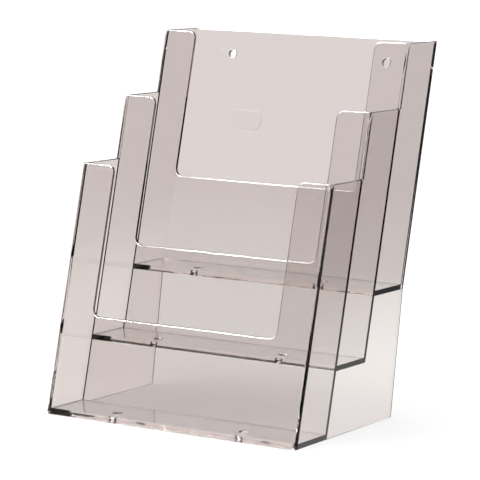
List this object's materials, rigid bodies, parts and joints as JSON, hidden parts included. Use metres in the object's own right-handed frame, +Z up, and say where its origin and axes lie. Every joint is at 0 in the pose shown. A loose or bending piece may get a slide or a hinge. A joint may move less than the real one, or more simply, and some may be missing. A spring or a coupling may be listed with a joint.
{
  "type": "magazine rack",
  "caption": "Stepped counter rack of clear plastic sheet with leaning pockets, cut-out fronts and holes for wall or counter fixing; holds leaflets and small magazines.",
  "frame": {"origin": "middle of the bounding box at the surface that the rack stands on", "axes": "+X to the right of someone facing the rack, +Y to the back, the way the panels lean, +Z up"},
  "size_m": [0.165, 0.155, 0.216],
  "materials": {
    "face_sheet": "clear, polished, faint warm grey tint",
    "side_sheet": "clear, polished, faint warm grey tint",
    "floor_sheet": "clear, polished, faint warm grey tint",
    "back_sheet": "clear, polished, faint warm grey tint"
  },
  "bodies": {
    "root": {"left_side_panel": "side_sheet", "right_side_panel": "side_sheet", "front_tier_face": "face_sheet", "middle_tier_face": "face_sheet", "back_tier_face": "face_sheet", "front_tier_floor": "floor_sheet", "middle_tier_floor": "floor_sheet", "back_tier_floor": "floor_sheet", "back_panel": "back_sheet"}
  },
  "joints": []
}
